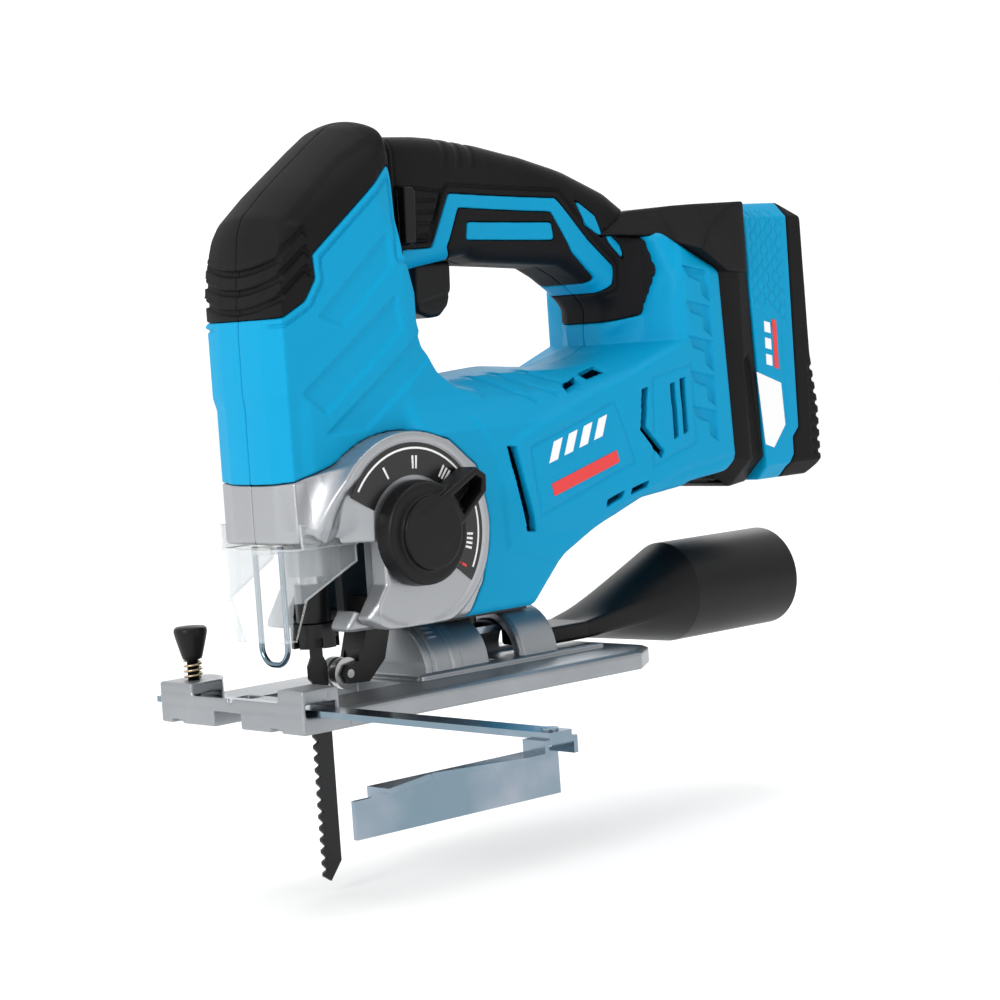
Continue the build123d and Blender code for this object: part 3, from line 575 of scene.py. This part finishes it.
def detail(g, width, out, cap, rubber):
    """Returns the outside with its grooves, bands and beads."""
    side = np.clip((width - 13) / 2, 0, 1)
    flank = sum(sunk(polygon(g.x, g.z, band), 0.9, 1.4) for band in HEAD_BANDS)
    flank = flank - sunk(polygon(g.x, g.z, SIDE_PANEL), 0.9, 2.0)
    flank = flank + groove(np.abs(polygon(g.x, g.z, PLATE_LINE)), 0.8, 0.5)
    flank = flank + groove(np.abs(polygon(g.x, g.z, LATCH_PANEL)), 0.8, 0.6)
    for z in HOOK_STEPS:
        hook = [(157, z + 4), (169, z + 1.4), (169, z - 9.5), (165, z - 6.8), (165, z - 2.2), (158.5, z)]
        flank = flank + sunk(polygon(g.x, g.z, hook), 2.0, 0.7)
    for rib in TUBE_RIBS:
        flank = flank + groove(line(g.x, g.z, rib), 0.9, 0.7)
    out = out + side * flank
    out = out + side * groove(np.abs(cap - 2.6), 0.7, 0.6) - side * sunk(np.abs(cap - 1.3) - 0.6, 0.5, 0.9)
    out = out + np.clip((-12 - g.x) / 4, 0, 1) * sunk(g.z - 107, 1.0, 5.0)
    rise = 4.0 * (width / 20.5) ** 2
    for z in CAP_LINES:
        front = groove(np.abs(g.z - z - rise), 1.3, 1.3) - groove(np.abs(g.z - z - 1.9 - rise), 0.9, 0.4)
        out = out + np.where((g.x < -18.5) & (width < 20.6), front, 0)
        run = [(-20.8, z + 4), (-9.5, z + 13.5), (-8.5, z + 11.5)]
        out = out + np.where(width > 19, groove(line(g.x, g.z, run), 1.2, 1.3), 0)
    facet = polygon(g.x, g.z, [(-14, 166), (10, 185.5), (24, 193), (27, 188), (-4, 160)])
    out = out + np.clip((width - 12) / 6, 0, 1) * sunk(facet, 0.7, 2.5)
    frame_line = np.abs(polygon(g.x, g.z, FRAME_OUT) - 2.8)
    out = out + np.where(g.x > 43, side * groove(frame_line, 0.8, 0.9), 0)
    panel = polygon(g.x, g.z, GRIP_PANEL)
    out = out + side * groove(np.abs(panel), 0.8, 0.9)
    for z in GRIP_GROOVES:
        out = out + side * np.where(panel < -1.6, groove(np.abs(g.z - z), 0.8, 0.8), 0)
    for x in TOP_RIBS:
        out = out + np.where(g.z > 182, groove(np.abs(g.x - x - 0.15 * (g.z - 190)), 1.6, 0.35), 0)
    return out


def pack_front(g):
    """The pack leans: its front face runs back a little toward the bottom."""
    return 189.9 + 0.05 * np.clip(160 - g.z, 0, 100)


def foot_form(g, width):
    """The battery's seat: a flared rim, and a faceted cover that runs forward over the rear body."""
    flare = 0.45 * np.clip(184.5 - g.x, 0, 12) + 0.12 * np.clip(g.x - 185, 0, 10)
    rim = meet(polygon(width, g.z, FOOT_FRONT) + flare, g.x - pack_front(g) + 0.3, 1.0)
    rim = np.maximum(rim, 176.4 - g.x)
    recess = polygon(g.x, g.z, [(185, 107), (187.5, 109), (189.4, 104), (192.6, 68), (189, 66), (187, 70)])
    rim = rim + sunk(recess, 1.6, 0.8) * np.clip(width - 34, 0, 1)
    cover = polygon(g.x, g.z, [(122, 157.2), (125, 160), (133, 163), (148, 165.6), (164, 166.6), (188, 166.6),
                               (188, 140), (177.6, 141), (155, 155.6), (140, 156.8)])
    spine = 12 + 0.42 * np.clip(g.x - 124, 0, 60) + 8 * np.clip((g.x - 160) / 8, 0, 1)
    cover = meet(g.soften(cover, 0.6), width - spine + 0.7 * np.clip(g.z - 158, -30, 20), 0.8)
    return join(rim, cover, 0.8)


OPENINGS = [((49, 69), 8.6, (136, 160)), ((34.6, 40.4), 30, (156.6, 176.4)), ((60, 82), 9, (20, 39)),
            ((-10, 33), 13, (20, 63)), ((-18, -13), 2.5, (50, 70))]


def body_cuts(g, width):
    """Where the controls, the blade, the bevel clamp and the battery foot go through the shell."""
    cuts = [block(g, x, (-half, half), z) for x, half, z in OPENINGS]
    cuts.append(foot_form(g, width) - 0.15)
    for vent in VENTS:
        cuts.append(np.maximum(polygon(g.x, g.z, vent) - 0.2, 20 - width))
    lowest = cuts[0]
    for cut in cuts[1:]:
        lowest = np.minimum(lowest, cut)
    return lowest


# %% Grow the shells
def grow_body():
    g = Grid((-27, -37.8, 26), (183, 1.2, 203), FINE)
    width = np.abs(g.y)
    out = body_form(g, width)
    cap, grip = g.soften(polygon(g.x, g.z, CAP), 0.8), g.soften(polygon(g.x, g.z, HANDLE_RUBBER), 0.8)
    frame_out, frame_in = polygon(g.x, g.z, FRAME_OUT), polygon(g.x, g.z, FRAME_IN)
    blue_on_grip = np.maximum(frame_out, -frame_in)
    for window in [WINDOW] + REAR_WINDOWS:
        blue_on_grip = np.minimum(blue_on_grip, polygon(g.x, g.z, window))
    rubber = np.minimum(cap, np.maximum(grip, -g.soften(blue_on_grip, 0.6)))
    nose = g.soften(polygon(g.x, g.z, NOSE), 0.8)
    outside = detail(g, width, out, cap, rubber)
    shell = meet(np.maximum(outside, -(out + SKIN_WALL)), g.y + SEAM, 0.3)
    shell = meet(shell, -body_cuts(g, width), 0.3)
    thin = 0.5
    from_dial = np.hypot(g.x - DIAL[0], g.z - DIAL[1])
    blue = meet(meet(shell, 0.12 - rubber, 0.5), 0.12 - nose, 0.5)
    left_blue = meet(blue, RING_R + 0.25 - from_dial, 0.3)
    grow("shell_left", g, left_blue, BLUE, "housing", "blue_shell", ["housing_left"], thin=thin)
    grow("shell_right", g, blue, BLUE, "housing", "blue_shell", ["housing_right"], True, thin)
    skin_field = meet(shell, rubber + 0.12, 0.5)
    grow("rubber_left", g, skin_field, RUBBER, "housing", "rubber", ["overmould_left"], thin=thin)
    grow("rubber_right", g, skin_field, RUBBER, "housing", "rubber", ["overmould_right"], True, thin)
    nose_field = meet(shell, nose + 0.12, 0.5)
    grow("nose_right", g, nose_field, SILVER, "housing", "silver_plastic", ["nose_cover_right"], True, thin)
    fall = 0.9 * np.clip(2 - g.x, 0, 10) * np.clip((80 - g.z) / 20, 0, 1)
    face = RING_FACE - fall
    ring = meet(from_dial - RING_R, width - face + 0.4 * np.clip((31.5 - from_dial) / 0.8, 0, 1), 1.2)
    ring = meet(ring, polygon(g.x, g.z, HEAD_SIDE), 1.2)
    ring = np.maximum(np.maximum(ring, 25 - width), 28.3 - g.z)
    ring = np.maximum(ring, -(out + SKIN_WALL))
    ring = np.maximum(ring, 5.3 - from_dial)
    flow = 1.2 + 11 * np.clip((16 - g.x) / 18, 0, 1) * np.clip((g.z - 56) / 8, 0, 1)
    silver = join(meet(nose_field, 31 - from_dial, 0.3), ring, flow)
    silver = meet(silver, nose + 0.12 - 60 * (from_dial < RING_R + 0.2), 0.3)
    grow("nose_left", g, silver, SILVER, "housing", "silver_plastic", ["nose_cover_left"], thin=thin)


grow_body()

# %% [markdown]
# ## The battery and its seat
# The seat's rim takes the pack's weight. The pack is a blue inner shell and a black outer one. A net of
# zigzag lines gives the fingers a hold on the pack's sides and top.

# %% Grow the battery
PACK_FRONT = [(31, 61), (37, 67), (37, 160.5), (31, 166.5), (-9, 166.5), (-9, 61)]
PACK_SIDE = [(180, 61), (223, 61), (226.5, 65), (226.5, 88), (223.5, 108), (222.4, 160), (215, 166.5),
             (180, 166.5)]
OUTER_SHELL = [(214, 170), (214, 80), (210.5, 76.5), (210.5, 70), (207, 65.5), (207, 50), (240, 50),
               (240, 170)]


def grow_battery():
    seat_grid = Grid((119, -38.6, 59.5), (198, 1.2, 168), FINE)
    wide = np.abs(seat_grid.y)
    seat = foot_form(seat_grid, wide)
    g = Grid((178, -38.6, 59.5), (228, 1.2, 168), FINE)
    width = np.abs(g.y)
    form = meet(g.soften(polygon(g.x, g.z, PACK_SIDE), 1.0), polygon(width, g.z, PACK_FRONT), 1.4)
    black = polygon(g.x, g.z, OUTER_SHELL)
    net = np.full(np.broadcast(g.x, g.z).shape, 9.0, np.float32)
    for row, x in enumerate(np.arange(193.0, 210.5, 2.9)):
        wave = 0.9 * (-1) ** row * (2 * np.abs((g.z / 5.2) % 1 * 2 - 1) - 1)
        net = np.minimum(net, np.abs(g.x - x - wave))
    field_of_net = polygon(g.x, g.z, [(191, 163), (210.8, 163), (210.8, 119), (203, 126.5), (191, 128)])
    lines = groove(net, 0.5, 0.45) * np.clip(0.5 - field_of_net, 0, 1)
    lines = lines + groove(line(g.x, g.z, [(190, 127), (196, 126), (207, 115), (207, 80)]), 0.6, 0.35)
    out = form + lines
    for z in np.arange(70, 106, 4.6):
        out = out + np.where(g.x > 221, groove(np.abs(g.z - z), 1.1, 0.8), 0)
    inner = -(form + 2.2)
    leaning = np.maximum(out, pack_front(g) - g.x)
    shell = np.maximum(leaning, np.minimum(inner, g.x - pack_front(g) - 2.0))
    tongue = meet(np.maximum(179.7 - g.x, g.x - 191),
                  np.maximum(width - 25, np.maximum(69 - g.z, g.z - 166.2)), 0.8)
    rail_slot = np.maximum(np.maximum(np.abs(width - 25) - 3, np.abs(g.x - 185) - 1.5), g.z - 158)
    blades = np.minimum(width, np.abs(width - 14)) - 2.2
    blade_slots = np.maximum(np.maximum(blades, np.abs(g.x - 185) - 4), g.z - 86)
    tongue = np.maximum(np.maximum(tongue, -rail_slot), -blade_slots)
    shell = meet(shell, g.y, 0.2)
    button = np.maximum(np.maximum(215 - g.x, width - 14), np.maximum(140 - g.z, g.z - 156))
    blue = meet(shell, 0.1 - black, 0.6)
    dark = meet(meet(shell, black + 0.1, 0.6), -button, 0.4)
    thin = 0.35
    tongue_gap = np.maximum(wide - 25.3, np.maximum(61.8 - seat_grid.z, seat_grid.z - 170))
    tongue_gap = np.maximum(tongue_gap, 178.9 - seat_grid.x)
    rim = np.maximum(meet(seat, -tongue_gap, 0.3), np.where(seat_grid.x < 168, -(seat + 4.0), -9.0))
    rail = np.maximum(np.abs(wide - 24.3) - 1.8, np.abs(seat_grid.x - 185) - 1.2)
    rim = np.minimum(rim, np.maximum(rail, np.abs(seat_grid.z - 113) - 43))
    rim = meet(rim, seat_grid.y, 0.2)
    for side, mirror in (("left", False), ("right", True)):
        grow("seat_" + side, seat_grid, rim, SEAT, "housing", "rubber", ["battery_foot"], mirror, thin)
        grow("pack_inner_" + side, g, blue, BLUE, "battery", "blue_shell", ["battery_inner_shell"], mirror,
             thin)
        grow("pack_tongue_" + side, g, meet(tongue, g.y, 0.2), BLACK, "battery", "black_plastic", (), mirror,
             thin)
        grow("pack_outer_" + side, g, dark, RUBBER, "battery", "black_plastic", ["battery_outer_shell"],
             mirror, thin)


grow_battery()

# %% [markdown]
# ## The dial
# A round knob with a hollow finger tab sits on a silver ring. The label under it is printed with an arc
# and four groups of bars, from few to many, for the strength of the blade's swing.

# %% Knob and label
KNOB_TURN = np.radians(35)
WHITE_MARKS = [(118, 1), (86, 2), (52, 3), (-12, 4)]
PRINT_DEPTH = (33.3, 33.52)


def grow_knob():
    g = Grid((-1, -46.5, 38), (54, -21, 86), min(FINE, 0.6))
    dx, dz, width = g.x - DIAL[0], g.z - DIAL[1], -g.y
    radius = np.hypot(dx, dz)
    u = np.cos(KNOB_TURN) * dx + np.sin(KNOB_TURN) * dz
    v = -np.sin(KNOB_TURN) * dx + np.cos(KNOB_TURN) * dz
    base = meet(radius - 18 + 0.10 * (width - 34), width - 41.0, 1.4)
    disc = meet(radius - 12.4, width - 43.6 - 0.02 * dx, 0.7)
    tab = [(-2, -7.5), (27, -4.5), (30.5, 0), (28.5, 5), (-2, 9)]
    lever = meet(polygon(u, v, tab), width - 43.6, 0.8)
    pocket = polygon(u, v, [(14, -3.9), (25.5, -2.6), (28, 0), (26.6, 2.8), (14, 4.2)])
    lever = meet(lever, -np.maximum(pocket, 36.5 - width), 0.5)
    knob = join(join(base, lever, 0.8), disc, 0.6)
    knob = np.maximum(knob, 34.15 - width)
    stem = np.maximum(np.maximum(radius - 5, 22 - width), width - 36)
    grow("knob", g, np.minimum(knob, stem), BLACK, "dial", "black_plastic", ["dial_knob"])


def grow_trigger():
    g = Grid((48, -9.5, 129), (69, 9.5, 154), min(FINE, 0.6))
    side = g.soften(polygon(g.x, g.z, [(50, 151), (49.4, 137), (51, 133), (56, 131), (61, 131.4), (65, 135),
                                       (67, 141), (67.4, 151)]), 1.2)
    pull = meet(side, np.abs(g.y) - 8, 2.2) + groove(np.abs(g.z - 136 - 0.2 * (g.x - 50)), 0.8, 0.3)
    foot = np.maximum(np.maximum(np.abs(g.x - 58.5) - 6.5, np.abs(g.y) - 6), np.abs(g.z - 150.7) - 1.8)
    grow("trigger_pull", g, np.minimum(pull, foot), BLACK, "trigger", "black_plastic", ["trigger"])


def grow_lock_button():
    """The lock-off button: a slab with a slanted face that stands proud of the grip."""
    g = Grid((33, -24, 155), (42, -11, 178), 0.25)
    leaning = polygon(g.x, g.z, [(35, 157), (40, 157), (40, 174.5), (38.6, 176), (35, 176)])
    cap = meet(leaning, np.maximum(-22.6 + 0.06 * (176 - g.z) - g.y, g.y + 17.8), 0.8)
    stem = np.maximum(np.maximum(36 - g.x, g.x - 39), np.maximum(160 - g.z, g.z - 173))
    field = np.minimum(cap, np.maximum(stem, np.maximum(-18.5 - g.y, g.y + 12)))
    grow("lock_button_cap", g, field, BLACK, "lock_off", "black_plastic", ["lock_button"])


def sector(name, radii, angles, depth, material, slot, replaces=()):
    """A flat arc on the dial's face, between two radii and two angles."""
    steps = max(2, int(abs(angles[1] - angles[0]) / 2))
    turn = np.radians(np.linspace(angles[0], angles[1], steps + 1))
    points, faces = [], []
    for y in depth:
        for r in radii:
            points += [(DIAL[0] + r * np.cos(a), -y, DIAL[1] + r * np.sin(a)) for a in turn]
    n = steps + 1
    for i in range(steps):
        ring = [(0, 1), (1, 3), (3, 2), (2, 0)]
        faces += [(a * n + i, b * n + i, b * n + i + 1, a * n + i + 1) for a, b in ring]
    faces += [(0, n, 3 * n, 2 * n), (n - 1, 3 * n - 1, 4 * n - 1, 2 * n - 1)]
    piece = mesh_object(name, points, np.array(faces), material, "housing", slot, replaces)
    piece.data.shade_flat()
    tidy_normals(piece)
    return piece


def tidy_normals(piece, close=False):
    """Turns every face outward, and first closes open ends when asked to."""
    mesh = bmesh.new()
    mesh.from_mesh(piece.data)
    if close:
        bmesh.ops.holes_fill(mesh, edges=mesh.edges)
    bmesh.ops.recalc_face_normals(mesh, faces=mesh.faces)
    mesh.to_mesh(piece.data)
    mesh.free()


grow_lock_button()
grow_knob()
grow_trigger()
sector("dial_print_ground", (19.5, 30.4), (-38, 152), (33.0, 33.45), LABEL, "label", ["dial_label"])
sector("dial_line", (28.2, 28.9), (-30, 146), PRINT_DEPTH, WHITE, "label")
for at, count in WHITE_MARKS:
    for i in range(count):
        middle = at + (i - (count - 1) / 2) * 3.6
        span = (middle - 0.9, middle + 0.9)
        sector(f"dial_bar_{at}_{i}", (21.6, 26.0), span, PRINT_DEPTH, WHITE, "label")
for i in range(2):
    sector(f"dial_stop_{i}", (20.6 + 3 * i, 22.8 + 3 * i), (-33, -31), PRINT_DEPTH, RED, "label")
print("dial made")

# %% [markdown]
# ## The shoe
# The shoe is a die casting: flat, with two quadrant humps for the bevel, a box at each front corner for
# the fence bar, and rounded edges everywhere. Fine ticks on the front hump read the bevel angle.

# %% Grow the shoe
SHOE_PLAN = [(-38, -38), (-37, -39), (118, -39), (132, -29), (132, 29), (118, 39), (-37, 39), (-38, 38)]
BEVEL_Z, HUMP_R = 8.5, 17.5


def grow_shoe():
    g = Grid((-39.2, -40, -0.9), (133, 40, 27), FINE)
    plan = polygon(g.x, g.y, SHOE_PLAN)
    shoe = meet(plan, np.maximum(-g.z, g.z - 7), 0.7)
    shoe = meet(shoe, g.z - 7 + 0.5 * np.clip(plan + 2.6, 0, 3), 0.3)
    near = meet(polygon(g.x, g.y, [(-38, -39), (-23, -39), (-23, -25.5), (-38, -25.5)]), g.z - 14.4, 0.9)
    far = meet(polygon(g.x, g.y, [(-38, 39), (-20, 39), (-17.6, 36), (-17.6, 30), (-24, 22), (-38, 21)]),
               g.z - 13.8, 0.9)
    wall = meet(np.maximum(np.abs(g.x + 35) - 3, np.abs(g.y) - 38), g.z - 10, 0.7)
    for boss in (near, far, wall):
        shoe = join(shoe, np.maximum(boss, 0.5 - g.z), 0.8)
    spine = meet(block(g, (30, 118), (-20, 20), (5, 9)), g.z - 9, 0.5)
    shoe = join(shoe, spine, 0.6)
    radius = np.hypot(g.y, g.z - BEVEL_Z)
    lean = np.degrees(np.arctan2(g.y, g.z - BEVEL_Z))
    ticks = np.clip(1 - np.abs((np.abs(lean) + 3.75) % 7.5 - 3.75) * radius * 0.0175 / 0.55, 0, 1)
    ticks = ticks * np.clip(1 - np.abs(g.x - 41.5) / 2.4, 0, 0.4) * 1.6 * (np.abs(lean) < 50)
    step = 0.7 * np.clip((g.x - 50.8) / 0.5, 0, 1) * np.clip((80.2 - g.x) / 0.5, 0, 1)
    scale = groove(np.abs(g.x - 37.6), 0.7, 0.5) + groove(np.abs(g.x - 46.0), 0.5, 0.3)
    hump = meet(radius - HUMP_R + step + scale - ticks, np.maximum(34 - g.x, g.x - 97), 0.5)
    shoe = join(shoe, np.maximum(hump, 5 - g.z), 0.8)
    cuts = [np.maximum(np.maximum(radius - 13.4, 37 - g.x), 7 - g.z),
            block(g, (64, 79), (-30, 30), (9.1, 40)),
            block(g, (60, 82), (-9, 9), (-1, 10)), block(g, (98, 119), (-13.2, 13.2), (7, 12)),
            block(g, (-14, 28), (-13, 13), (-1, 12)), block(g, (-40, -13), (-5.3, 9.5), (-2, 5.2)),
            block(g, (-40, -35), (-1, 1), (8.6, 12)), block(g, (-37, -24.5), (-50, 50), (5.6, 9.8)),
            block(g, (-40, -35), (-27, -21), (-2, 1.4)), block(g, (-40, -35), (27, 33), (-2, 1.4)),
            np.maximum(np.hypot(g.x + 30, g.y - 30) - 2.1, 8 - g.z),
            block(g, (-32, -15), (-20, -7), (5, 12)), block(g, (-32, -15), (11, 20), (5, 12)),
            block(g, (28.5, 34), (-17, 17), (7.6, 12))]
    for cut in cuts:
        shoe = meet(shoe, -cut, 0.25)
    grow("cast_shoe", g, shoe, CAST, "shoe", "die_cast", ["shoe"], thin=0.4)


grow_shoe()

# %% [markdown]
# ## Printed marks and small parts
# The prints are plain shapes with no lettering: a row of slanted teeth over a red bar on each side, and
# a white shield, three chips and a red strip on the pack. They are thin plates on the skin.

# %% Plates and turned parts
PRINT_Y, PACK_PRINT_Y, PRINT_T = 35.5, 37.2, 0.25


def plate(name, first, second, material, body, slot):
    """A thin plate between two outlines with as many points each."""
    n, points = len(first), first + second
    mesh = bpy.data.meshes.new(name)
    faces = [list(range(n)), list(range(2 * n - 1, n - 1, -1))]
    faces += [(i, (i + 1) % n, (i + 1) % n + n, i + n) for i in range(n)]
    mesh.from_pydata([tuple(c * MM for c in p) for p in points], [], faces)
    piece = place(name, mesh, material, body, slot)
    tidy_normals(piece)
    return piece


def decal(name, corners, y, material, body, slot):
    """A print in side view, on either side of the tool."""
    front = [(x, y, z) for x, z in corners]
    back = [(x, y - PRINT_T * np.sign(y), z) for x, z in corners]
    return plate(name, front, back, material, body, slot)


def turned(name, profile, centre, material, body, slot, replaces=(), sides=48):
    """A part turned about a vertical axis from (radius, height) pairs."""
    angles = np.arange(sides) * 2 * np.pi / sides
    points = [(centre[0] + r * np.cos(a), centre[1] + r * np.sin(a), z) for r, z in profile for a in angles]
    faces = [(k * sides + i, k * sides + (i + 1) % sides, (k + 1) * sides + (i + 1) % sides,
              (k + 1) * sides + i) for k in range(len(profile) - 1) for i in range(sides)]
    piece = mesh_object(name, points, np.array(faces), material, body, slot, replaces)
    tidy_normals(piece, close=True)
    return piece


for side, label in ((-1, "left"), (1, "right")):
    for i in range(4):
        x, z = 82 + 7.6 * i, 77.6 + 2.1 * i
        tooth = [(x, z), (x + 4.2, z + 1.1), (x + 7.2, z + 8.6), (x + 3.0, z + 7.4)]
        decal(f"print_tooth_{label}_{i}", tooth, side * PRINT_Y, WHITE, "housing", "label")
    bar = [(82.5, 70.3), (115.8, 79.4), (116.8, 75.0), (83.5, 65.9)]
    decal("print_bar_" + label, bar, side * PRINT_Y, RED, "housing", "label")
    shield = [(191.6, 102.5), (204.9, 97.5), (205.9, 81.5), (198.8, 73.4), (194.2, 75)]
    decal("pack_shield_" + label, shield, side * PACK_PRINT_Y, WHITE, "battery", "label")
    for i in range(3):
        z = 105 + 6.2 * i
        chip = [(197.5, z), (200.7, z - 0.8), (200.7, z + 3.2), (197.5, z + 4)]
        decal(f"pack_chip_{label}_{i}", chip, side * PACK_PRINT_Y, WHITE, "battery", "label")
    strip = [(202.0, 103.4), (204.2, 102.9), (204.2, 121.4), (202.0, 121.9)]
    decal("pack_bar_" + label, strip, side * PACK_PRINT_Y, RED, "battery", "label")
turned("fence_knob_grip", [(2.0, 8.2), (2.0, 20.6), (3.3, 21.0), (3.8, 22.6), (4.5, 25.2), (5.3, 28.2),
                           (5.75, 30.2), (5.6, 31.4), (4.9, 32.0), (1.5, 32.3), (0.1, 32.3)],
       (-30, 30), BLACK, "fence_knob", "black_plastic", ["fence_knob"])


# %% Painted highlight: bright beads along the edges of the clear guard
def bead(name, points, radius, material, body, slot):
    """A thin round bead along a line of points."""
    curve = bpy.data.curves.new(name, "CURVE")
    curve.dimensions, curve.bevel_depth, curve.bevel_resolution = "3D", radius * MM, 3
    spline = curve.splines.new("POLY")
    spline.points.add(len(points) - 1)
    for knot, point in zip(spline.points, points):
        knot.co = (*(c * MM for c in point), 1)
    made = bpy.data.objects.new(name, curve)
    bpy.context.scene.collection.objects.link(made)
    mesh = bpy.data.meshes.new_from_object(made.evaluated_get(bpy.context.evaluated_depsgraph_get()))
    bpy.data.objects.remove(made)
    mesh.shade_smooth()
    return place(name, mesh, material, body, slot)


# A paler copy of the clear plastic, drawn as thin beads along the guard's rims: a painted highlight where its
# edges catch the light.
EDGE_HIGHLIGHT = clear_plastic("guard_edge_highlight", (0.85, 0.88, 0.9), 0.1)
EDGE_R = 0.35
GUARD_TAB = [(-19.8, 58.0), (-20.2, 66.2), (-12, 64.9), (1.2, 58.0)]


def flared(side, offset):
    """The tab's outline at a distance outside the nose, which widens towards the back."""
    return [(x, side * (offset + 0.14 * (x + 20)), z) for x, z in GUARD_TAB]


for side, label in ((-1, "left"), (1, "right")):
    rim = [(-24.0, 8.8, 57.9), (-21.0, 20.2, 57.9), (1.7, 22.9, 57.9), (1.7, 22.9, 52.3),
           (-18.8, 20.6, 41.2), (-19.3, 14.2, 27.2), (-22.6, 9, 27.0)]
    bead("guard_edge_highlight_" + label, [(x, side * y, z) for x, y, z in rim], EDGE_R, EDGE_HIGHLIGHT, "chip_guard", "clear")
    plate("guard_tab_" + label, flared(side, 20.9), flared(side, 21.9), CLEAR, "chip_guard", "clear")
    bead("guard_tab_edge_" + label, flared(side, 21.9), EDGE_R, EDGE_HIGHLIGHT, "chip_guard", "clear")
print("small parts made")
